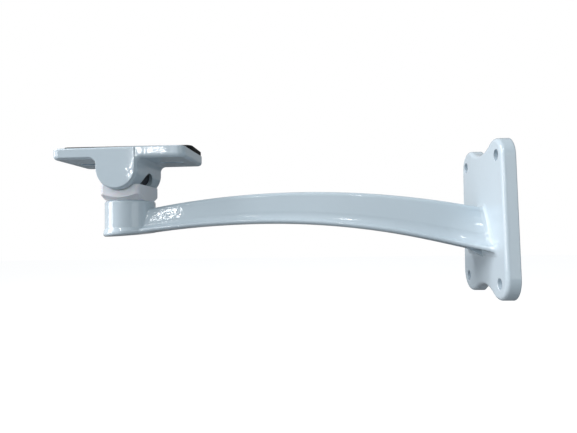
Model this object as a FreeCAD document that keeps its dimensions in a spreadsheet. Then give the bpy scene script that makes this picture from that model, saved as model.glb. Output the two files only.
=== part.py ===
"""Straight wall bracket for a security camera, in millimetres.

The frame: the origin is the middle of the wall plate's back face, +X runs out of the wall along the arm,
+Z is up and Y runs across. A cast bracket carries a plastic saddle that turns on its boss, and a cast head
that tilts on the saddle. One screw clamps both.
"""
import FreeCAD, Part
import math
import os
import Sketcher

SIZES = {
    # Wall plate: a rounded lobe round each of the four holes, with a shallow hollow between the lobes
    "plate_thick": 8.4,
    "hole_across": 56.4,
    "hole_rise": 78.0,
    "hole_width": 7.0,
    "upper_lobe_radius": 13.0,
    "upper_lobe_side": 23.8,
    "upper_lobe_rise": 37.0,
    "upper_hollow_radius": 37.0,
    "lower_lobe_radius": 14.0,
    "lower_lobe_side": 24.9,
    "lower_lobe_drop": 35.2,
    "lower_hollow_radius": 34.0,
    "plate_edge": 2.4,
    "back_wall": 4.0,
    "rim_wall": 3.2,
    "screw_boss": 15.0,
    "rib_thick": 3.0,
    # Arm: arched above and below, with a flared lip along each lower edge
    "boss_reach": 249.0,
    "crown_reach": 130.0,
    "crown_rise": 21.2,
    "crown_radius": 575.0,
    "under_reach": 155.0,
    "under_rise": 0.35,
    "under_radius_wall": 512.0,
    "under_radius_boss": 670.0,
    "foot_drop": 20.0,
    "arm_top_width": 16.0,
    "arm_side_width": 20.0,
    "arm_top_edge": 3.2,
    "lip_width": 27.0,
    "lip_thick": 3.0,
    "crease_share": 0.62,
    "foot_width": 52.0,
    "foot_side_width": 34.0,
    "foot_spread": 30.0,
    "arm_wall": 3.2,
    "arm_roof": 3.6,
    "foot_fillet": 3.0,
    "fillet_sink": 0.15,
    "rib_reach": 78.0,
    "rib_drop": 23.8,
    "rib_tip": 2.0,
    # Boss at the end of the arm, on a foot that climbs a little towards the wall
    "boss_width": 34.0,
    "boss_top": 17.5,
    "boss_bottom": -5.9,
    "boss_foot_slope": 0.075,
    "boss_edge": 1.5,
    "bead_out": 0.8,
    "bead_rise": 3.0,
    "bead_flare": 2.0,
    "counterbore_width": 19.0,
    "counterbore_depth": 13.4,
    # Head: a platform with rounded corners over a half-cylinder trough
    "tilt_rise": 38.1,
    "trough_radius": 14.0,
    "trough_wall": 3.0,
    "head_across": 48.0,
    "cheek_thick": 3.5,
    "cheek_out": 0.5,
    "cheek_inset": 0.8,
    "head_front": 44.2,
    "head_back": 46.0,
    "head_top": 52.0,
    "head_under": 44.6,
    "head_corner": 4.5,
    "head_edge": 2.4,
    "head_top_edge": 0.6,
    "head_fillet": 4.0,
    "clamp_slot_width": 18.0,
    "clamp_slot_turn": 85.0,
    "screw_slot_width": 7.0,
    "screw_slot_inner": 21.0,
    "screw_slot_outer": 37.5,
    # Saddle
    "saddle_long": 37.0,
    "saddle_wide": 27.0,
    "saddle_corner": 3.0,
    "saddle_rise": 28.0,
    "saddle_foot_width": 32.0,
    "saddle_foot_rise": 4.0,
    "saddle_gap": 0.2,
    "stem_pocket_depth": 3.2,
    # Clamp parts
    "block_gap": 0.2,
    "block_long": 34.0,
    "block_top": 41.0,
    "stem_width": 16.0,
    "stem_gap": 0.3,
    "stem_end_gap": 0.4,
    "bolt_width": 8.0,
    "bolt_hole_width": 8.6,
    "bolt_head_width": 13.0,
    "bolt_head_rise": 8.0,
    "socket_across": 6.0,
    "socket_depth": 4.0,
    "bolt_end": 42.0,
    "washer_width": 16.0,
    "washer_thick": 1.6,
    "spring_washer_width": 14.8,
    "spring_washer_thick": 2.2,
    "spring_washer_split": 1.2,
    "nut_across": 13.0,
    "nut_thick": 6.5,
    "nut_gap": 0.15,
    # Rubber pad, glued on a little askew
    "pad_thick": 3.0,
    "pad_wide": 32.5,
    "pad_inset": 0.2,
    "pad_corner": 4.0,
    "pad_turn": 2.2,
    "pad_shift": -6.0,
}

doc = FreeCAD.newDocument("StraightBracket")
sheet = doc.addObject("Spreadsheet::Sheet", "Sizes")
for row, (word, number) in enumerate(SIZES.items(), start=1):
    sheet.set(f"A{row}", word)
    sheet.set(f"B{row}", str(number))
    sheet.setAlias(f"B{row}", word)
doc.recompute()


class Size:
    """A size with its present value and the sheet expression that it comes from."""

    def __init__(self, value, text):
        self.value = value
        self.text = text

    def joined(self, sign, other, value):
        return Size(value, f"({self.text} {sign} {as_size(other).text})")

    def __add__(self, other):
        return self.joined("+", other, self.value + as_size(other).value)

    def __sub__(self, other):
        return self.joined("-", other, self.value - as_size(other).value)

    def __mul__(self, other):
        return self.joined("*", other, self.value * as_size(other).value)

    def __truediv__(self, other):
        return self.joined("/", other, self.value / as_size(other).value)

    def __radd__(self, other):
        return as_size(other) + self

    def __rsub__(self, other):
        return as_size(other) - self

    def __rmul__(self, other):
        return as_size(other) * self

    def __neg__(self):
        return 0 - self


def as_size(number):
    return number if isinstance(number, Size) else Size(float(number), repr(float(number)))


def size(word):
    return Size(float(sheet.get(word)), f"Sizes.{word}")


def root(number):
    return Size(math.sqrt(number.value), f"sqrt({number.text})")


def arc_sine(ratio):
    return Size(math.degrees(math.asin(ratio.value)), f"(asin({ratio.text}) / 1 deg)")


def plane_of(body, role):
    """The body's own origin plane with this role."""
    planes = [feature for feature in body.Origin.OriginFeatures if feature.Role == role]
    return planes[0]


def new_body(node):
    body = doc.addObject("PartDesign::Body", node)
    body.Label = node
    return body


def new_sketch(body, name, plane, offset=0):
    """A sketch on one of the body's origin planes, moved along the plane's normal."""
    offset = as_size(offset)
    sketch = body.newObject("Sketcher::SketchObject", name)
    sketch.AttachmentSupport = [(plane_of(body, plane), "")]
    sketch.MapMode = "FlatFace"
    sketch.AttachmentOffset = FreeCAD.Placement(FreeCAD.Vector(0, 0, offset.value), FreeCAD.Rotation())
    sketch.setExpression("AttachmentOffset.Base.z", offset.text)
    return sketch


def pin_point(sketch, geometry, end, across, up):
    """Hold one end of a line or arc, or a circle's centre, at a worked-out place."""
    for kind, number in (("DistanceX", as_size(across)), ("DistanceY", as_size(up))):
        index = sketch.addConstraint(Sketcher.Constraint(kind, -1, 1, geometry, end, number.value))
        sketch.setExpression(f"Constraints[{index}]", number.text)


def set_radius(sketch, geometry, radius):
    index = sketch.addConstraint(Sketcher.Constraint("Radius", geometry, radius.value))
    sketch.setExpression(f"Constraints[{index}]", radius.text)


def arc_middle(start, finish, radius, bulge):
    """The middle of the arc from start to finish, bulging to the right of travel for 1 and left for -1."""
    chord = finish - start
    left = FreeCAD.Vector(-chord.y, chord.x, 0).normalize()
    depth = math.sqrt(radius ** 2 - chord.Length ** 2 / 4)
    centre = (start + finish) / 2 + left * depth * bulge
    return centre - left * radius * bulge


def outline(sketch, corners):
    """Draw a closed outline. A corner is (across, up), or (across, up, radius, bulge) where an arc leaves it."""
    points = [FreeCAD.Vector(as_size(corner[0]).value, as_size(corner[1]).value, 0) for corner in corners]
    ends = []
    for number, corner in enumerate(corners):
        start = points[number]
        finish = points[(number + 1) % len(points)]
        if len(corner) == 2:
            index = sketch.addGeometry(Part.LineSegment(start, finish), False)
            ends.append((index, 1, 2))
        else:
            radius = as_size(corner[2])
            middle = arc_middle(start, finish, radius.value, corner[3])
            index = sketch.addGeometry(Part.Arc(start, middle, finish), False)
            set_radius(sketch, index, radius)
            ends.append((index, 1, 2) if corner[3] > 0 else (index, 2, 1))
    for number, (index, first, last) in enumerate(ends):
        following, following_first, _ = ends[(number + 1) % len(ends)]
        sketch.addConstraint(Sketcher.Constraint("Coincident", index, last, following, following_first))
        pin_point(sketch, index, first, corners[number][0], corners[number][1])


def circle(sketch, across, up, radius):
    radius = as_size(radius)
    centre = FreeCAD.Vector(as_size(across).value, as_size(up).value, 0)
    index = sketch.addGeometry(Part.Circle(centre, FreeCAD.Vector(0, 0, 1), radius.value), False)
    pin_point(sketch, index, 3, across, up)
    set_radius(sketch, index, radius)


def rounded_box(sketch, left, right, low, high, radius):
    """A rectangle with rounded corners."""
    outline(sketch, [
        (left + radius, low),
        (right - radius, low, radius, 1),
        (right, low + radius),
        (right, high - radius, radius, 1),
        (right - radius, high),
        (left + radius, high, radius, 1),
        (left, high - radius),
        (left, low + radius, radius, 1),
    ])


def slot(sketch, left, right, middle, radius):
    """A long hole with round ends, each made of two quarter arcs."""
    outline(sketch, [
        (left + radius, middle - radius),
        (right - radius, middle - radius, radius, 1),
        (right, middle, radius, 1),
        (right - radius, middle + radius),
        (left + radius, middle + radius, radius, 1),
        (left, middle, radius, 1),
    ])


def hexagon(sketch, across, up, flats):
    """A hexagon with two of its flats facing along the sketch's upright axis."""
    reach = flats / math.sqrt(3)
    outline(sketch, [
        (across + reach, up + 0.0),
        (across + reach / 2, up + flats / 2),
        (across - reach / 2, up + flats / 2),
        (across - reach, up + 0.0),
        (across - reach / 2, up - flats / 2),
        (across + reach / 2, up - flats / 2),
    ])


def axis_line(sketch, start, finish):
    """A construction line, which a revolved feature turns about."""
    ends = [FreeCAD.Vector(as_size(point[0]).value, as_size(point[1]).value, 0) for point in (start, finish)]
    index = sketch.addGeometry(Part.LineSegment(*ends), True)
    pin_point(sketch, index, 1, *start)
    pin_point(sketch, index, 2, *finish)


def extrude(body, kind, name, sketch, length, both_ways=False, backwards=False):
    """A Pad or Pocket of a sketch."""
    length = as_size(length)
    feature = body.newObject(f"PartDesign::{kind}", name)
    feature.Profile = sketch
    feature.Length = length.value
    feature.setExpression("Length", length.text)
    if both_ways:
        feature.SideType = "Symmetric"
    feature.Reversed = backwards
    doc.recompute()
    return feature


def revolve(body, kind, name, sketch, turn=360, both_ways=False):
    """A Revolution or Groove of a sketch about its first construction line."""
    turn = as_size(turn)
    feature = body.newObject(f"PartDesign::{kind}", name)
    feature.Profile = sketch
    feature.ReferenceAxis = (sketch, ["Axis0"])
    feature.Angle = turn.value
    feature.setExpression("Angle", turn.text)
    feature.Midplane = both_ways
    doc.recompute()
    return feature


def loft(body, kind, name, sections):
    feature = body.newObject(f"PartDesign::{kind}", name)
    feature.Profile = (sections[0], [""])
    feature.Sections = [(section, [""]) for section in sections[1:]]
    doc.recompute()
    return feature


def soften(body, kind, name, radius, wanted):
    """A Fillet or Chamfer on the edges of the body's latest feature that the test picks."""
    base = body.Tip
    picked = [f"Edge{number}" for number, edge in enumerate(base.Shape.Edges, start=1) if wanted(edge)]
    feature = body.newObject(f"PartDesign::{kind}", name)
    feature.Base = (base, picked)
    property_name = "Radius" if kind == "Fillet" else "Size"
    setattr(feature, property_name, radius.value)
    feature.setExpression(property_name, radius.text)
    doc.recompute()
    return feature


def middle_of(edge):
    return edge.valueAt((edge.FirstParameter + edge.LastParameter) / 2)


def lies_at(edge, axis, place):
    """Whether all of an edge lies in the plane where this axis has this value."""
    box = edge.BoundBox
    low, high = {"x": (box.XMin, box.XMax), "y": (box.YMin, box.YMax), "z": (box.ZMin, box.ZMax)}[axis]
    return abs(low - place) < 0.01 and abs(high - place) < 0.01


# Places that several pieces share
reach = size("boss_reach")
boss_top = size("boss_top")
boss_bottom = size("boss_bottom")
tilt_rise = size("tilt_rise")
trough_radius = size("trough_radius")
seat_rise = tilt_rise - trough_radius - size("saddle_gap")
seat_depth = boss_bottom + size("counterbore_depth")
bolt_hole = size("bolt_hole_width") / 2
platform_middle = reach + (size("head_front") - size("head_back")) / 2


# Wall bracket

class Lobe:
    """One corner of the wall plate, and where it meets the hollow between it and its mirror image."""

    def __init__(self, side, rise, radius, hollow, inset):
        self.side = side
        self.rise = rise
        self.radius = radius - inset
        self.hollow = hollow + inset
        both = radius + hollow
        climb = root(both * both - side * side)
        self.hollow_rise = rise + climb - self.hollow
        self.touch_side = side - side * self.radius / both
        self.touch_rise = rise + climb * self.radius / both


def lobes(inset):
    """The plate's upper and lower lobes, the lower one measured downwards."""
    inset = as_size(inset)
    upper = Lobe(size("upper_lobe_side"), size("upper_lobe_rise"), size("upper_lobe_radius"),
                 size("upper_hollow_radius"), inset)
    lower = Lobe(size("lower_lobe_side"), size("lower_lobe_drop"), size("lower_lobe_radius"),
                 size("lower_hollow_radius"), inset)
    return upper, lower


def plate_outline(sketch, inset=0):
    """Four lobes joined by straight sides that touch them and by hollows above and below."""
    upper, lower = lobes(inset)
    lean = upper.side - lower.side
    height = upper.rise + lower.rise
    apart = root(lean * lean + height * height)
    slant = (lower.radius - upper.radius) / apart
    square = root(1 - slant * slant)
    out = (slant * lean + square * height) / apart
    up = (slant * height - square * lean) / apart
    outline(sketch, [
        (lower.side + lower.radius * out, lower.radius * up - lower.rise),
        (upper.side + upper.radius * out, upper.rise + upper.radius * up, upper.radius, 1),
        (upper.touch_side, upper.touch_rise, upper.hollow, -1),
        (-upper.touch_side, upper.touch_rise, upper.radius, 1),
        (-upper.side - upper.radius * out, upper.rise + upper.radius * up),
        (-lower.side - lower.radius * out, lower.radius * up - lower.rise, lower.radius, 1),
        (-lower.touch_side, -lower.touch_rise, lower.hollow, -1),
        (lower.touch_side, -lower.touch_rise, lower.radius, 1),
    ])


def four_circles(sketch, radius):
    for sign_y, sign_z in ((1, 1), (-1, 1), (-1, -1), (1, -1)):
        circle(sketch, size("hole_across") / 2 * sign_y, size("hole_rise") / 2 * sign_z, radius)


def rib_cross(sketch):
    """An upright and a level rib that end in the rim."""
    upper, lower = lobes(0)
    rib = size("rib_thick") / 2
    rim = size("rim_wall") / 2
    high = upper.hollow_rise - rim
    low = rim - lower.hollow_rise
    wide = upper.side + upper.radius - rim
    outline(sketch, [
        (-rib, low),
        (rib, low),
        (rib, -rib),
        (wide, -rib),
        (wide, rib),
        (rib, rib),
        (rib, high),
        (-rib, high),
        (-rib, rib),
        (-wide, rib),
        (-wide, -rib),
        (-rib, -rib),
    ])


class ArmShape:
    """The arm's heights and half-widths at a distance from the wall, grown all round by a fillet's share."""

    def __init__(self, place, growth=0):
        growth = as_size(growth)
        crown = size("crown_radius")
        near_wall = place.value < size("under_reach").value
        under = size("under_radius_wall" if near_wall else "under_radius_boss")
        from_crown = place - size("crown_reach")
        from_under = place - size("under_reach")
        self.top = size("crown_rise") - crown + root(crown * crown - from_crown * from_crown)
        self.low = size("under_rise") - under + root(under * under - from_under * from_under)
        self.lip = size("lip_width") / 2
        self.side = size("arm_side_width") / 2
        foot_end = size("plate_thick") + size("foot_spread")
        if place.value < foot_end.value:
            self.add_foot(foot_end - place)
        self.out = self.lip - size("lip_thick") / 2
        self.bead = size("lip_thick") / 2 + growth
        self.crease = self.top - (self.top - self.low) * size("crease_share")
        self.edge = size("arm_top_edge") + growth
        self.top_half = size("arm_top_width") / 2 + growth
        self.top = self.top + growth
        self.low = self.low - growth
        self.side = self.side + growth
        self.lip = self.lip + growth

    def add_foot(self, inward):
        """Near the wall the arm spreads sideways and its lower lip levels off."""
        spread = size("foot_spread")
        widening = size("foot_width") / 2 - self.lip
        curve = (spread * spread + widening * widening) / (2 * widening)
        share = (curve - root(curve * curve - inward * inward)) / widening
        self.lip = self.lip + share * widening
        self.side = self.side + share * (size("foot_side_width") / 2 - self.side)
        arc = size("under_radius_wall")
        far = size("under_reach") - size("plate_thick")
        plain = size("under_rise") - arc + root(arc * arc - far * far)
        easing = (inward / spread) * (inward / spread)
        self.low = self.low - easing * (plain + size("foot_drop"))


def arm_section(sketch, shape):
    """Rounded top, nearly upright sides, then a hollow flare out to a rounded lip."""
    top_half = shape.top_half
    edge = shape.edge
    bead = shape.bead
    out = shape.out
    rise = shape.crease - shape.low - bead * 2
    step = out - shape.side
    flare = (step * step + rise * rise) / (2 * step)
    outline(sketch, [
        (-out, shape.low),
        (out, shape.low, bead, 1),
        (shape.lip, shape.low + bead, bead, 1),
        (out, shape.low + bead * 2, flare, -1),
        (shape.side, shape.crease),
        (top_half, shape.top - edge, edge, 1),
        (top_half - edge, shape.top),
        (edge - top_half, shape.top, edge, 1),
        (-top_half, shape.top - edge),
        (-shape.side, shape.crease, flare, -1),
        (-out, shape.low + bead * 2, bead, 1),
        (-shape.lip, shape.low + bead, bead, 1),
    ])


def channel_section(sketch, shape):
    """The hollow under the arm, open downwards."""
    roof = shape.top - size("arm_roof")
    roof_half = size("arm_top_width") / 2 - size("arm_wall")
    mouth_half = shape.side - size("arm_wall") * 0.8
    below = shape.low - size("foot_fillet") - 1.0
    outline(sketch, [
        (-mouth_half, below),
        (mouth_half, below),
        (roof_half, roof),
        (-roof_half, roof),
    ])


def build_wall_bracket():
    body = new_body("wall_bracket")
    thick = size("plate_thick")
    plate = new_sketch(body, "PlateOutline", "YZ_Plane")
    plate_outline(plate)
    extrude(body, "Pad", "Plate", plate, thick)
    soften(body, "Fillet", "PlateEdge", size("plate_edge"), lambda edge: lies_at(edge, "x", thick.value))

    foot_end = thick + size("foot_spread")
    arm_end = reach - size("boss_width") * 0.18
    places = [foot_end - size("foot_spread") * share for share in (1.12, 0.93, 0.72, 0.5, 0.26)]
    places += [foot_end + (arm_end - foot_end) * share for share in (0.0, 0.12, 0.28, 0.44, 0.6, 0.76, 0.9, 1.0)]
    sections = []
    for number, place in enumerate(places, start=1):
        section = new_sketch(body, f"ArmSection{number}", "YZ_Plane", place)
        arm_section(section, ArmShape(place))
        sections.append(section)
    loft(body, "AdditiveLoft", "Arm", sections)

    fillet = size("foot_fillet")
    sections = []
    for number, share in enumerate((-0.2, 0.0, 0.15, 0.45, 1.0), start=1):
        inward = fillet * (1 - max(share, 0.0))
        growth = fillet - root(fillet * fillet - inward * inward) - size("fillet_sink") * share
        section = new_sketch(body, f"FootFilletSection{number}", "YZ_Plane", thick + fillet * share)
        arm_section(section, ArmShape(thick + fillet * share, growth))
        sections.append(section)
    loft(body, "AdditiveLoft", "FootFillet", sections)

    half = size("boss_width") / 2
    edge = size("boss_edge")
    boss = new_sketch(body, "BossOutline", "XZ_Plane")
    foot_middle = boss_bottom + size("bead_rise") / 2
    axis_line(boss, (reach, foot_middle), (reach, boss_top))
    outline(boss, [
        (reach, foot_middle),
        (reach + half, foot_middle),
        (reach + half, boss_top - edge, edge, 1),
        (reach + half - edge, boss_top),
        (reach, boss_top),
    ])
    revolve(body, "Revolution", "Boss", boss)
    build_boss_foot(body, half, edge)
    return body


def build_boss_foot(body, half, edge):
    """The bead round the boss's lower edge, square to a foot that climbs towards the wall like the lips."""
    slope = size("boss_foot_slope")
    lean = root(1 + slope * slope)

    def on_foot(out, up):
        return reach + (out + up * slope) / lean, boss_bottom + (up - out * slope) / lean

    wide = half + size("bead_out")
    rise = size("bead_rise")
    flare = size("bead_flare")
    inside = half - flare
    none = as_size(0)
    foot = new_sketch(body, "BossFootOutline", "XZ_Plane")
    axis_line(foot, on_foot(none, none), on_foot(none, rise))
    outline(foot, [
        on_foot(none, none),
        (*on_foot(wide - edge, none), edge, 1),
        on_foot(wide, edge),
        on_foot(wide, rise - edge / 2),
        on_foot(half, rise + flare),
        on_foot(inside, rise + flare),
        on_foot(inside, rise),
        on_foot(none, rise),
    ])
    revolve(body, "Revolution", "BossFoot", foot)


def build_inside(body):
    """The hollow under the arm, the recess in the back, the wall screw holes and the clamp screw's bore."""
    thick = size("plate_thick")
    start = thick + 0.3
    finish = reach - size("boss_width") / 2 - size("arm_wall")
    sections = []
    for number, share in enumerate((0.0, 0.06, 0.14, 0.3, 0.5, 0.75, 1.0), start=1):
        place = start + (finish - start) * share
        section = new_sketch(body, f"ChannelSection{number}", "YZ_Plane", place)
        channel_section(section, ArmShape(place))
        sections.append(section)
    loft(body, "SubtractiveLoft", "Channel", sections)

    bore = new_sketch(body, "BoreOutline", "XZ_Plane")
    wide = size("counterbore_width") / 2
    axis_line(bore, (reach, boss_bottom), (reach, boss_top))
    outline(bore, [
        (reach, boss_bottom - 1.0),
        (reach + wide, boss_bottom - 1.0),
        (reach + wide, seat_depth),
        (reach + bolt_hole, seat_depth),
        (reach + bolt_hole, boss_top + 1.0),
        (reach, boss_top + 1.0),
    ])
    revolve(body, "Groove", "Bore", bore)

    recess = new_sketch(body, "RecessOutline", "YZ_Plane")
    plate_outline(recess, size("rim_wall"))
    depth = thick - size("back_wall")
    extrude(body, "Pocket", "Recess", recess, depth, backwards=True)
    cross = new_sketch(body, "BackRibOutline", "YZ_Plane")
    rib_cross(cross)
    extrude(body, "Pad", "BackRibs", cross, depth)
    bosses = new_sketch(body, "ScrewBossOutline", "YZ_Plane")
    four_circles(bosses, size("screw_boss") / 2)
    extrude(body, "Pad", "ScrewBosses", bosses, depth)
    holes = new_sketch(body, "ScrewHoles", "YZ_Plane")
    four_circles(holes, size("hole_width") / 2)
    extrude(body, "Pocket", "Holes", holes, thick + 1.0, backwards=True)

    rib_end = ArmShape(size("rib_reach"))
    root_end = ArmShape(thick)
    in_roof = size("arm_roof") / 2
    rib = new_sketch(body, "ArmRibOutline", "XZ_Plane")
    outline(rib, [
        (thick - 1.0, -size("rib_drop")),
        (thick, -size("rib_drop")),
        (size("rib_reach"), rib_end.top - in_roof - size("rib_tip")),
        (size("rib_reach"), rib_end.top - in_roof),
        (thick - 1.0, root_end.top - in_roof),
    ])
    extrude(body, "Pad", "ArmRib", rib, size("rib_thick"), both_ways=True)


# Saddle

def build_saddle():
    body = new_body("saddle")
    long_half = size("saddle_long") / 2
    wide_half = size("saddle_wide") / 2
    block = new_sketch(body, "SaddleOutline", "XY_Plane", boss_top)
    rounded_box(block, reach - wide_half, reach + wide_half, -long_half, long_half, size("saddle_corner"))
    extrude(body, "Pad", "Block", block, size("saddle_rise") - boss_top)

    foot = new_sketch(body, "FootTaper", "XZ_Plane")
    far = reach + long_half * 1.3
    axis_line(foot, (reach, boss_top), (reach, size("saddle_rise")))
    outline(foot, [
        (reach + size("saddle_foot_width") / 2, boss_top),
        (reach + size("saddle_foot_width") / 2, boss_top - 1.0),
        (far, boss_top - 1.0),
        (far, boss_top + size("saddle_foot_rise") * 1.4),
    ])
    revolve(body, "Groove", "Foot", foot)

    cradle = new_sketch(body, "CradleOutline", "XZ_Plane")
    circle(cradle, reach, tilt_rise, trough_radius + size("saddle_gap"))
    extrude(body, "Pocket", "Cradle", cradle, size("saddle_long") * 2, both_ways=True)

    stem = new_sketch(body, "StemPocketOutline", "XY_Plane", seat_rise - size("stem_pocket_depth"))
    circle(stem, reach, 0, size("stem_width") / 2 + size("stem_gap"))
    extrude(body, "Pocket", "StemPocket", stem, trough_radius, backwards=True)
    hole = new_sketch(body, "BoltHoleOutline", "XY_Plane", boss_top - 1.0)
    circle(hole, reach, 0, bolt_hole)
    extrude(body, "Pocket", "BoltHole", hole, size("saddle_rise"), backwards=True)
    return body


# Head

def build_head():
    body = new_body("head")
    under = size("head_under")
    top = size("head_top")
    half = size("head_across") / 2
    front = reach + size("head_front")
    back = reach - size("head_back")
    fillet = size("head_fillet")
    edge = size("head_edge")
    top_edge = size("head_top_edge")
    platform = new_sketch(body, "PlatformOutline", "XY_Plane", under)
    rounded_box(platform, back, front, -half, half, size("head_corner"))
    extrude(body, "Pad", "Platform", platform, top - under)

    trough = new_sketch(body, "TroughOutline", "XZ_Plane")
    outline(trough, [
        (reach, tilt_rise - trough_radius, trough_radius, 1),
        (reach + trough_radius, tilt_rise),
        (reach + trough_radius, under - fillet, fillet, -1),
        (reach + trough_radius + fillet, under),
        (reach + trough_radius + fillet, under + 1.0),
        (reach - trough_radius - fillet, under + 1.0),
        (reach - trough_radius - fillet, under, fillet, -1),
        (reach - trough_radius, under - fillet),
        (reach - trough_radius, tilt_rise, trough_radius, 1),
    ])
    extrude(body, "Pad", "Trough", trough, half * 2, both_ways=True)

    def lower_rim(lines):
        low = middle_of(lines).z < top.value - 0.5
        on_end = lies_at(lines, "y", half.value) or lies_at(lines, "y", -half.value)
        at_under = lies_at(lines, "z", under.value) and abs(middle_of(lines).x - reach.value) > 30
        upright = abs(lines.BoundBox.ZLength - (top.value - under.value)) < 0.01
        return low and not upright and (on_end or at_under)

    soften(body, "Fillet", "LowerEdge", edge, lower_rim)
    soften(body, "Fillet", "UpperEdge", top_edge, lambda lines: lies_at(lines, "z", top.value))

    raised = half + size("cheek_out")
    inset = size("cheek_inset")
    cheek_half = trough_radius - inset
    corner = front - size("head_corner")
    cheek = new_sketch(body, "CheekOutline", "XZ_Plane")
    outline(cheek, [
        (reach, tilt_rise - cheek_half, cheek_half, 1),
        (reach + cheek_half, tilt_rise),
        (reach + cheek_half, under - fillet, fillet + inset, -1),
        (reach + trough_radius + fillet, under + inset),
        (corner, under + inset),
        (corner, top - top_edge),
        (reach - cheek_half, top - top_edge),
        (reach - cheek_half, tilt_rise, cheek_half, 1),
    ])
    extrude(body, "Pad", "Cheeks", cheek, raised * 2, both_ways=True)
    soften(body, "Fillet", "CheekEdge", size("cheek_out") * 0.9,
           lambda lines: lies_at(lines, "y", raised.value) or lies_at(lines, "y", -raised.value))

    inner = trough_radius - size("trough_wall")
    hollow = new_sketch(body, "HollowOutline", "XZ_Plane")
    outline(hollow, [
        (reach, tilt_rise - inner, inner, 1),
        (reach + inner, tilt_rise),
        (reach + inner, top + 1.0),
        (reach - inner, top + 1.0),
        (reach - inner, tilt_rise, inner, 1),
    ])
    extrude(body, "Pocket", "Hollow", hollow, (half - size("cheek_thick")) * 2, both_ways=True)
    return body


def cut_clamp_slot(body):
    """The wide slot round the trough, with rounded ends, that the clamp's stem passes."""
    half = size("clamp_slot_width") / 2
    inner = trough_radius - size("trough_wall")
    turn = size("clamp_slot_turn") - arc_sine(half / trough_radius)
    band = new_sketch(body, "SlotBand", "YZ_Plane", reach)
    axis_line(band, (-half, tilt_rise), (half, tilt_rise))
    outline(band, [
        (-half, tilt_rise - trough_radius - 1.0),
        (half, tilt_rise - trough_radius - 1.0),
        (half, tilt_rise - inner + 1.0),
        (-half, tilt_rise - inner + 1.0),
    ])
    revolve(body, "Groove", "SlotBandCut", band, turn * 2, both_ways=True)
    for number, sign in enumerate((1, -1), start=1):
        angle = turn * sign
        end = body.newObject("Sketcher::SketchObject", f"SlotEnd{number}")
        end.AttachmentSupport = [(plane_of(body, "XY_Plane"), "")]
        end.MapMode = "FlatFace"
        place = FreeCAD.Vector(reach.value, 0, tilt_rise.value)
        turned = FreeCAD.Rotation(FreeCAD.Vector(0, 1, 0), angle.value)
        end.AttachmentOffset = FreeCAD.Placement(place, turned)
        end.setExpression("AttachmentOffset.Base.x", reach.text)
        end.setExpression("AttachmentOffset.Base.z", tilt_rise.text)
        end.setExpression("AttachmentOffset.Rotation.Angle", angle.text)
        circle(end, 0, 0, half)
        extrude(body, "Pocket", f"SlotEndCut{number}", end, trough_radius + 1.0)
    return body


def screw_slots(sketch):
    """One long hole in each wing, on the middle line and at equal distances from the platform's middle."""
    radius = size("screw_slot_width") / 2
    inner = size("screw_slot_inner")
    outer = size("screw_slot_outer")
    slot(sketch, platform_middle - outer, platform_middle - inner, as_size(0), radius)
    slot(sketch, platform_middle + inner, platform_middle + outer, as_size(0), radius)


# Clamp parts and pad

def build_clamp_block():
    body = new_body("clamp_block")
    radius = trough_radius - size("trough_wall") - size("block_gap")
    top = size("block_top")
    rise = top - tilt_rise
    shoulder = root(radius * radius - rise * rise)
    block = new_sketch(body, "BlockOutline", "XZ_Plane")
    outline(block, [
        (reach, tilt_rise - radius, radius, 1),
        (reach + shoulder, top),
        (reach - shoulder, top, radius, 1),
    ])
    extrude(body, "Pad", "Block", block, size("block_long"), both_ways=True)
    stem_end = seat_rise - size("stem_pocket_depth") + size("stem_end_gap")
    stem = new_sketch(body, "StemOutline", "XY_Plane", stem_end)
    circle(stem, reach, 0, size("stem_width") / 2)
    extrude(body, "Pad", "Stem", stem, tilt_rise - stem_end)
    pocket = new_sketch(body, "NutPocketOutline", "XY_Plane", top)
    hexagon(pocket, reach, as_size(0), size("nut_across") + size("nut_gap") * 2)
    extrude(body, "Pocket", "NutPocket", pocket, size("nut_thick"))
    hole = new_sketch(body, "BlockHoleOutline", "XY_Plane", top)
    circle(hole, reach, 0, bolt_hole)
    extrude(body, "Pocket", "BlockHole", hole, top)
    return body


def build_clamp_bolt():
    body = new_body("clamp_bolt")
    head_top = seat_depth - size("washer_thick") - size("spring_washer_thick")
    head_low = head_top - size("bolt_head_rise")
    shank = size("bolt_width") / 2
    wide = size("bolt_head_width") / 2
    shape = new_sketch(body, "BoltOutline", "XZ_Plane")
    axis_line(shape, (reach, head_low), (reach, head_top))
    outline(shape, [
        (reach, head_low),
        (reach + wide - 0.8, head_low),
        (reach + wide, head_low + 0.8),
        (reach + wide, head_top),
        (reach + shank, head_top),
        (reach + shank, size("bolt_end") - 1.0),
        (reach + shank - 1.0, size("bolt_end")),
        (reach, size("bolt_end")),
    ])
    revolve(body, "Revolution", "Bolt", shape)
    socket = new_sketch(body, "SocketOutline", "XY_Plane", head_low)
    hexagon(socket, reach, as_size(0), size("socket_across"))
    extrude(body, "Pocket", "Socket", socket, size("socket_depth"), backwards=True)
    return body


def ring(node, low, outer, inner, thick):
    """A flat ring round the clamp screw."""
    body = new_body(node)
    shape = new_sketch(body, "RingOutline", "XY_Plane", low)
    circle(shape, reach, 0, outer)
    circle(shape, reach, 0, inner)
    extrude(body, "Pad", "Ring", shape, thick)
    return body


def build_washers():
    washer = size("washer_thick")
    spring = size("spring_washer_thick")
    ring("flat_washer", seat_depth - washer, size("washer_width") / 2, bolt_hole, washer)
    lock_low = seat_depth - washer - spring
    body = ring("lock_washer", lock_low, size("spring_washer_width") / 2, bolt_hole, spring)
    split = new_sketch(body, "SplitOutline", "XY_Plane", lock_low)
    gap = size("spring_washer_split") / 2
    outer = size("spring_washer_width") / 2 + 1.0
    outline(split, [
        (reach - gap, as_size(0)),
        (reach + gap, as_size(0)),
        (reach + gap * 3, outer),
        (reach + gap, outer),
    ])
    extrude(body, "Pocket", "Split", split, spring, backwards=True)


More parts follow.
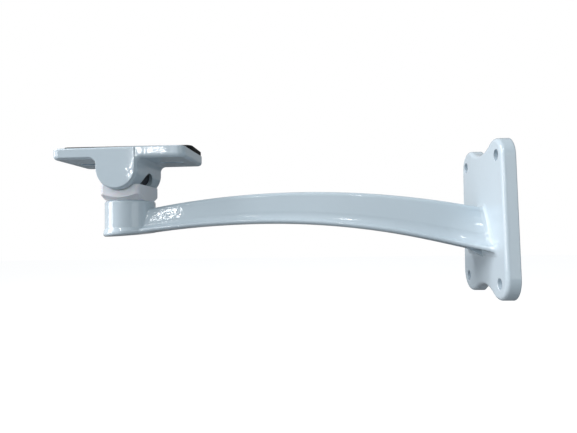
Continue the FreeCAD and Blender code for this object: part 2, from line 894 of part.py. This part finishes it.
def build_clamp_nut():
    body = new_body("clamp_nut")
    low = size("block_top") - size("nut_thick")
    shape = new_sketch(body, "NutOutline", "XY_Plane", low)
    hexagon(shape, reach, as_size(0), size("nut_across"))
    extrude(body, "Pad", "Nut", shape, size("nut_thick"))
    hole = new_sketch(body, "NutHole", "XY_Plane", low)
    circle(hole, reach, 0, size("bolt_width") / 2 + 0.05)
    extrude(body, "Pocket", "Thread", hole, size("nut_thick"), backwards=True)


def build_rubber_pad():
    body = new_body("rubber_pad")
    long_half = (size("head_front") + size("head_back")) / 2 - size("pad_inset")
    half = size("pad_wide") / 2
    turn = size("pad_turn")
    shape = new_sketch(body, "PadOutline", "XY_Plane", size("head_top"))
    middle = FreeCAD.Vector(platform_middle.value, size("pad_shift").value, size("head_top").value)
    turned = FreeCAD.Rotation(FreeCAD.Vector(0, 0, 1), turn.value)
    shape.AttachmentOffset = FreeCAD.Placement(middle, turned)
    shape.setExpression("AttachmentOffset.Base.x", platform_middle.text)
    shape.setExpression("AttachmentOffset.Base.y", size("pad_shift").text)
    shape.setExpression("AttachmentOffset.Rotation.Angle", turn.text)
    rounded_box(shape, -long_half, long_half, -half, half, size("pad_corner"))
    extrude(body, "Pad", "Sheet", shape, size("pad_thick"))
    slots = new_sketch(body, "PadSlots", "XY_Plane", size("head_top"))
    screw_slots(slots)
    extrude(body, "Pocket", "PadSlotCut", slots, size("pad_thick"), backwards=True)


bracket = build_wall_bracket()
build_inside(bracket)
build_saddle()
head = build_head()
cut_clamp_slot(head)
wing_slots = new_sketch(head, "WingSlots", "XY_Plane", size("head_top") + 1.0)
screw_slots(wing_slots)
extrude(head, "Pocket", "WingSlotCut", wing_slots, size("head_top") - size("head_under") + 2.0)
build_clamp_block()
build_clamp_bolt()
build_washers()
build_clamp_nut()
build_rubber_pad()
doc.recompute()

for item in doc.Objects:
    if "Invalid" in item.State or "Error" in item.State:
        raise RuntimeError(f"{item.Label} did not build: {item.State}")

os.makedirs("parts", exist_ok=True)
for body in doc.findObjects("PartDesign::Body"):
    if body.Shape.isNull() or not body.Shape.isValid():
        raise RuntimeError(f"{body.Label} has no sound shape")
    body.Shape.exportStep(f"parts/{body.Label}.step")
    print(body.Label, len(body.Shape.Solids), round(body.Shape.Volume))
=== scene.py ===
"""Straight wall bracket for a camera: the looks, in metres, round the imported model."""
import bpy
import math
from mathutils import Matrix, Vector

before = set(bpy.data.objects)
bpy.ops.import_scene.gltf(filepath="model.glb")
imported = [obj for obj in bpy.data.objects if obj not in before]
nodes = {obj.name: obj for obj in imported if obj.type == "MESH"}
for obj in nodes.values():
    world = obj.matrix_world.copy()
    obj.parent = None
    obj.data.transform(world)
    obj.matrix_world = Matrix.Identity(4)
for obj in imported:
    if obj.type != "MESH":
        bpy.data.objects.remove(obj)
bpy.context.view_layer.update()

# The photo's frame and viewpoint, solved from the wall plate's outline and its four holes.
# The sensor is in millimetres and the turns are in degrees.
IMAGE_WIDTH = 577.0
FOCAL_PIXELS = 448.6
SENSOR_WIDTH = 36.0
NEAREST_SEEN = 0.005
FARTHEST_SEEN = 20.0
CAMERA_PLACE = (0.1141, 0.3077, -0.0059)
CAMERA_YAW = -4.28
CAMERA_PITCH = -2.02
CAMERA_ROLL = 0.86

# The stage: white to the camera, and dimmer in the coat's reflections
FLOOR_SIZE = 8.0
FLOOR_PLACE = (0.15, 0.0, -0.25)
FLOOR_COLOUR = (0.24, 0.25, 0.26, 1.0)
FLOOR_LIFT = 0.93
FLOOR_MIRRORED = 0.05
BACKDROP_COLOUR = (1.0, 1.0, 1.0, 1.0)
BACKDROP_LIFT = 1.0
BACKDROP_MIRRORED = 0.45
FILL_COLOUR = (0.82, 0.94, 1.0, 1.0)
FILL_STRENGTH = 0.235

# Lamps: place, the point they face, width and height in metres, watts and colour
LAMPS = {
    "front softbox":
        ((1.60, 0.36, 0.42), (0.05, 0.0, 0.0), 0.75, 1.10, 17.0, (1.0, 0.96, 0.955)),
    "front right high":
        ((1.10, 0.80, 1.00), (0.02, 0.0, 0.0), 0.50, 0.50, 4.6, (1.0, 1.0, 1.0)),
    "upper front":
        ((1.45, 0.12, 1.35), (0.02, 0.0, 0.0), 0.70, 0.70, 16.0, (1.0, 0.975, 0.98)),
    "window":
        ((0.762, 1.40, 0.298), (0.23, 0.0, 0.02), 0.08, 0.13, 2.1, (1.0, 1.0, 1.0)),
    "high window":
        ((0.955, 1.40, 0.965), (0.22, 0.0, 0.01), 0.14, 0.11, 1.25, (1.0, 1.0, 1.0)),
    "ceiling tube by boss":
        ((0.45, 1.10, 1.20), (0.165, 0.0, 0.01), 0.05, 0.30, 0.7, (1.0, 1.0, 1.0)),
    "ceiling tube by plate":
        ((-0.10, 1.10, 1.20), (0.076, 0.0, 0.01), 0.05, 0.30, 1.1, (1.0, 1.0, 1.0)),
    "side panel by wall":
        ((-0.95, 1.25, 0.25), (0.1, 0.0, 0.0), 1.00, 1.00, 4.4, (0.96, 0.99, 1.0)),
}

# Each finish: two tones and its range of roughness, with the scale and detail of the pattern
# that each one follows, then the scale and detail of its grain, the depth of its relief in
# metres and the constants of its shader
FINISHES = {
    # Pale blue-grey gloss coat baked on a casting, with orange peel
    "powder_coat": {
        "tones": ((0.545, 0.645, 0.715), (0.575, 0.675, 0.745)), "clouds": (14.0, 3.0),
        "roughness": (0.05, 0.09), "patches": (60.0, 2.0),
        "grain": (300.0, 1.0), "depth": 0.00004,
        "constants": {},
    },
    # Off-white moulded nylon, satin and faintly milky
    "saddle_plastic": {
        "tones": ((0.76, 0.79, 0.84), (0.82, 0.85, 0.90)), "clouds": (30.0, 3.0),
        "roughness": (0.34, 0.46), "patches": (200.0, 2.0),
        "grain": (1500.0, 1.0), "depth": 0.00003,
        "constants": {"Subsurface Weight": 0.15, "Subsurface Scale": 0.002},
    },
    # Black sheet rubber with a fine, dull grain
    "pad_rubber": {
        "tones": ((0.004, 0.005, 0.006), (0.008, 0.009, 0.010)), "clouds": (120.0, 4.0),
        "roughness": (0.75, 0.95), "patches": (700.0, 2.0),
        "grain": (2200.0, 3.0), "depth": 0.00008,
        "constants": {"Specular IOR Level": 0.25},
    },
    # Uncoated zinc in a dark grey tone, with the fine grain of a shot-blasted casting
    "bare_casting": {
        "tones": ((0.07, 0.08, 0.09), (0.13, 0.14, 0.15)), "clouds": (90.0, 4.0),
        "roughness": (0.42, 0.60), "patches": (400.0, 2.0),
        "grain": (1800.0, 3.0), "depth": 0.00007,
        "constants": {"Metallic": 1.0},
    },
    # Bright zinc plate, slightly cloudy, over turned steel
    "plated_steel": {
        "tones": ((0.56, 0.57, 0.58), (0.66, 0.67, 0.68)), "clouds": (150.0, 3.0),
        "roughness": (0.22, 0.36), "patches": (500.0, 2.0),
        "grain": (1600.0, 2.0), "depth": 0.000012,
        "constants": {"Metallic": 1.0},
    },
}

# The noise texture hardly leaves this range, so its patterns are spread out from it
NOISE_LOW = 0.3
NOISE_HIGH = 0.7

# The coat: how wide it rounds an edge over, and how much orange peel its relief has
EDGE_RADIUS = 0.0010
EDGE_SAMPLES = 8
PEEL_SHARE = 0.9

# Spots where the coat went on dry and rough, by centre and reach: on the arm by the boss,
# on the head's near cheek and on the platform's side
DRY_SPOTS = (
    ((0.219, 0.013, -0.004), 0.018),
    ((0.2375, 0.0225, 0.034), 0.008),
    ((0.222, 0.0222, 0.049), 0.010),
)
DRY_CORE = 0.6
DRY_SHARE = 3.6
DRY_GRIT = (560.0, 1.0)

# The fine parting line across the wall plate, which ends just past the plate's front face
PARTING_HEIGHT = -0.0197
PARTING_REACH = 0.00016
PARTING_END = 0.0086
PARTING_SHARE = 0.8

# The turned rings round the clamp screw's axis, 0.24 mm apart
SCREW_AXIS = 0.249
RING_PHASE = 26000.0
RING_SHARE = 0.35


def deselect():
    """Leave nothing selected."""
    bpy.ops.object.select_all(action="DESELECT")


# Shader nodes

def new_material(name):
    """An empty material, with its nodes and its links."""
    material = bpy.data.materials.new(name)
    material.use_nodes = True
    material.node_tree.nodes.clear()
    return material, material.node_tree.nodes, material.node_tree.links


def value(made, links, operation, first, second=None):
    """One Math node; an input is either a number or another node's output."""
    node = made.new("ShaderNodeMath")
    node.operation = operation
    for socket, number in zip(node.inputs, (first, second)):
        if number is None:
            continue
        if isinstance(number, (int, float)):
            socket.default_value = number
        else:
            links.new(number, socket)
    return node.outputs[0]


def noise(made, links, place, scale, detail):
    """A soft random pattern; the scale counts its cells along a metre."""
    texture = made.new("ShaderNodeTexNoise")
    texture.inputs["Scale"].default_value = scale
    texture.inputs["Detail"].default_value = detail
    links.new(place, texture.inputs["Vector"])
    return texture.outputs["Fac"]


def spread(made, links, source, old, new):
    """Carry one range of numbers over to another, and hold what lies past its ends."""
    node = made.new("ShaderNodeMapRange")
    for socket, number in zip(("From Min", "From Max", "To Min", "To Max"), (*old, *new)):
        node.inputs[socket].default_value = number
    links.new(source, node.inputs["Value"])
    return node.outputs["Result"]


def two_tones(made, links, source, first, second):
    """A colour that goes from one tone to another as the pattern does."""
    ramp = made.new("ShaderNodeValToRGB")
    stops = ramp.color_ramp.elements
    for stop, position, tone in zip(stops, (NOISE_LOW, NOISE_HIGH), (first, second)):
        stop.position = position
        stop.color = (*tone, 1.0)
    links.new(source, ramp.inputs["Fac"])
    return ramp.outputs["Color"]


def seen(made, links):
    """Whether a ray looks straight on or through glass, and whether it's a reflection."""
    path = made.new("ShaderNodeLightPath").outputs
    direct = value(made, links, "MAXIMUM", path["Is Camera Ray"], path["Is Transmission Ray"])
    return direct, path["Is Glossy Ray"]


def white_share(made, links, straight, mirrored):
    """How white the stage looks: one strength straight on and another in reflections."""
    direct, glossy = seen(made, links)
    return value(
        made, links, "ADD",
        value(made, links, "MULTIPLY", direct, straight),
        value(made, links, "MULTIPLY", glossy, mirrored))


# Camera and stage

def add_camera():
    """The photo's viewpoint: beside the arm and level with it."""
    data = bpy.data.cameras.new("camera")
    data.sensor_width = SENSOR_WIDTH
    data.lens = FOCAL_PIXELS / IMAGE_WIDTH * SENSOR_WIDTH
    data.clip_start = NEAREST_SEEN
    data.clip_end = FARTHEST_SEEN
    camera = bpy.data.objects.new("camera", data)
    bpy.context.scene.collection.objects.link(camera)
    side_on = Matrix(((-1, 0, 0), (0, 0, 1), (0, 1, 0)))
    yaw = Matrix.Rotation(math.radians(CAMERA_YAW), 3, "Y")
    pitch = Matrix.Rotation(math.radians(CAMERA_PITCH), 3, "X")
    roll = Matrix.Rotation(math.radians(CAMERA_ROLL), 3, "Z")
    turn = (roll @ pitch @ yaw @ side_on).transposed()
    camera.matrix_world = Matrix.Translation(CAMERA_PLACE) @ turn.to_4x4()
    bpy.context.scene.camera = camera


def add_floor():
    """A floor that shows white, more dimly in reflections, and keeps the object's shadow."""
    bpy.ops.mesh.primitive_plane_add(size=FLOOR_SIZE, location=FLOOR_PLACE)
    floor = bpy.context.object
    floor.name = "floor"
    material, made, links = new_material("studio_floor")
    output = made.new("ShaderNodeOutputMaterial")
    diffuse = made.new("ShaderNodeBsdfDiffuse")
    diffuse.inputs["Color"].default_value = FLOOR_COLOUR
    white = made.new("ShaderNodeEmission")
    links.new(white_share(made, links, FLOOR_LIFT, FLOOR_MIRRORED), white.inputs["Strength"])
    lifted = made.new("ShaderNodeAddShader")
    links.new(diffuse.outputs[0], lifted.inputs[0])
    links.new(white.outputs[0], lifted.inputs[1])
    links.new(lifted.outputs[0], output.inputs["Surface"])
    floor.data.materials.append(material)
    deselect()


def set_world():
    """Even fill light, behind a backdrop that looks white straight on and grey in reflections."""
    world = bpy.data.worlds.new("studio")
    bpy.context.scene.world = world
    world.use_nodes = True
    made = world.node_tree.nodes
    links = world.node_tree.links
    made.clear()
    output = made.new("ShaderNodeOutputWorld")
    fill = made.new("ShaderNodeBackground")
    fill.inputs["Color"].default_value = FILL_COLOUR
    fill.inputs["Strength"].default_value = FILL_STRENGTH
    white = made.new("ShaderNodeBackground")
    white.inputs["Color"].default_value = BACKDROP_COLOUR
    strength = white_share(made, links, BACKDROP_LIFT, BACKDROP_MIRRORED)
    links.new(strength, white.inputs["Strength"])
    shown = value(made, links, "MAXIMUM", *seen(made, links))
    both = made.new("ShaderNodeMixShader")
    links.new(shown, both.inputs[0])
    links.new(fill.outputs[0], both.inputs[1])
    links.new(white.outputs[0], both.inputs[2])
    links.new(both.outputs[0], output.inputs["Surface"])


def add_lamp(name, place, target, width, height, watts, colour):
    """A rectangular soft lamp that faces a point."""
    data = bpy.data.lights.new(name, "AREA")
    data.shape = "RECTANGLE"
    data.size = width
    data.size_y = height
    data.energy = watts
    data.color = colour
    lamp = bpy.data.objects.new(name, data)
    bpy.context.scene.collection.objects.link(lamp)
    direction = Vector(target) - Vector(place)
    turn = direction.to_track_quat("-Z", "Y").to_matrix().to_4x4()
    lamp.matrix_world = Matrix.Translation(place) @ turn


# Finishes

def split(made, links, place):
    """The three coordinates one by one."""
    axes = made.new("ShaderNodeSeparateXYZ")
    links.new(place, axes.inputs[0])
    return axes.outputs


def dry_spot(made, links, place, centre, reach):
    """How far the coat is rougher round a point, fully so in the spot's core."""
    away = made.new("ShaderNodeVectorMath")
    away.operation = "DISTANCE"
    links.new(place, away.inputs[0])
    away.inputs[1].default_value = centre
    return spread(made, links, away.outputs["Value"], (reach, DRY_CORE * reach), (0.0, DRY_SHARE))


def parting_line(made, links, place):
    """1 on the line where the two halves of the mould met across the wall plate."""
    axes = split(made, links, place)
    away = value(made, links, "SUBTRACT", axes["Z"], PARTING_HEIGHT)
    near = value(made, links, "LESS_THAN", value(made, links, "ABSOLUTE", away), PARTING_REACH)
    on_plate = value(made, links, "LESS_THAN", axes["X"], PARTING_END)
    return value(made, links, "MULTIPLY", near, on_plate)


def coat_height(made, links, place, grain):
    """The coat's relief: orange peel, the grit of its dry spots and the parting line."""
    height = value(made, links, "MULTIPLY", grain, PEEL_SHARE)
    grit = noise(made, links, place, *DRY_GRIT)
    for centre, reach in DRY_SPOTS:
        share = dry_spot(made, links, place, centre, reach)
        height = value(made, links, "ADD", height, value(made, links, "MULTIPLY", grit, share))
    ridge = value(made, links, "MULTIPLY", parting_line(made, links, place), PARTING_SHARE)
    return value(made, links, "ADD", height, ridge)


def ring_height(made, links, place, grain):
    """The relief of turned steel: fine rings round the clamp screw's axis, and its grain."""
    axes = split(made, links, place)
    across = value(made, links, "SUBTRACT", axes["X"], SCREW_AXIS)
    from_axis = value(made, links, "SQRT", value(
        made, links, "ADD",
        value(made, links, "MULTIPLY", across, across),
        value(made, links, "MULTIPLY", axes["Y"], axes["Y"])))
    rings = value(made, links, "SINE", value(made, links, "MULTIPLY", from_axis, RING_PHASE))
    return value(made, links, "ADD", value(made, links, "MULTIPLY", rings, RING_SHARE), grain)


def soften_edges(made, links, bump):
    """Round edges and inner corners over in the shading, as a thick coat does."""
    edge = made.new("ShaderNodeBevel")
    edge.samples = EDGE_SAMPLES
    edge.inputs["Radius"].default_value = EDGE_RADIUS
    links.new(edge.outputs["Normal"], bump.inputs["Normal"])


def finish(name, relief=None, soft_edges=False):
    """One of the finishes; its relief is its grain, unless a function works it out."""
    setting = FINISHES[name]
    material, made, links = new_material(name)
    output = made.new("ShaderNodeOutputMaterial")
    shader = made.new("ShaderNodeBsdfPrincipled")
    links.new(shader.outputs[0], output.inputs["Surface"])
    for socket, number in setting["constants"].items():
        shader.inputs[socket].default_value = number
    place = made.new("ShaderNodeTexCoord").outputs["Object"]
    clouds = noise(made, links, place, *setting["clouds"])
    links.new(two_tones(made, links, clouds, *setting["tones"]), shader.inputs["Base Color"])
    patches = noise(made, links, place, *setting["patches"])
    roughness = spread(made, links, patches, (NOISE_LOW, NOISE_HIGH), setting["roughness"])
    links.new(roughness, shader.inputs["Roughness"])
    height = noise(made, links, place, *setting["grain"])
    if relief:
        height = relief(made, links, place, height)
    bump = made.new("ShaderNodeBump")
    bump.inputs["Strength"].default_value = 1.0
    bump.inputs["Distance"].default_value = setting["depth"]
    links.new(height, bump.inputs["Height"])
    links.new(bump.outputs["Normal"], shader.inputs["Normal"])
    if soft_edges:
        soften_edges(made, links, bump)
    return material


def paint(pieces, material):
    """Give every material slot of these nodes this finish."""
    for piece in pieces:
        for slot in nodes[piece].material_slots:
            slot.material = material


bpy.context.scene.view_settings.view_transform = "Standard"
deselect()
add_camera()
add_floor()
set_world()
for name, setting in LAMPS.items():
    add_lamp(name, *setting)
paint(["wall_bracket", "head"], finish("powder_coat", coat_height, soft_edges=True))
paint(["saddle"], finish("saddle_plastic"))
paint(["rubber_pad"], finish("pad_rubber"))
paint(["clamp_block"], finish("bare_casting"))
paint(["clamp_bolt", "flat_washer", "lock_washer", "clamp_nut"],
      finish("plated_steel", ring_height))
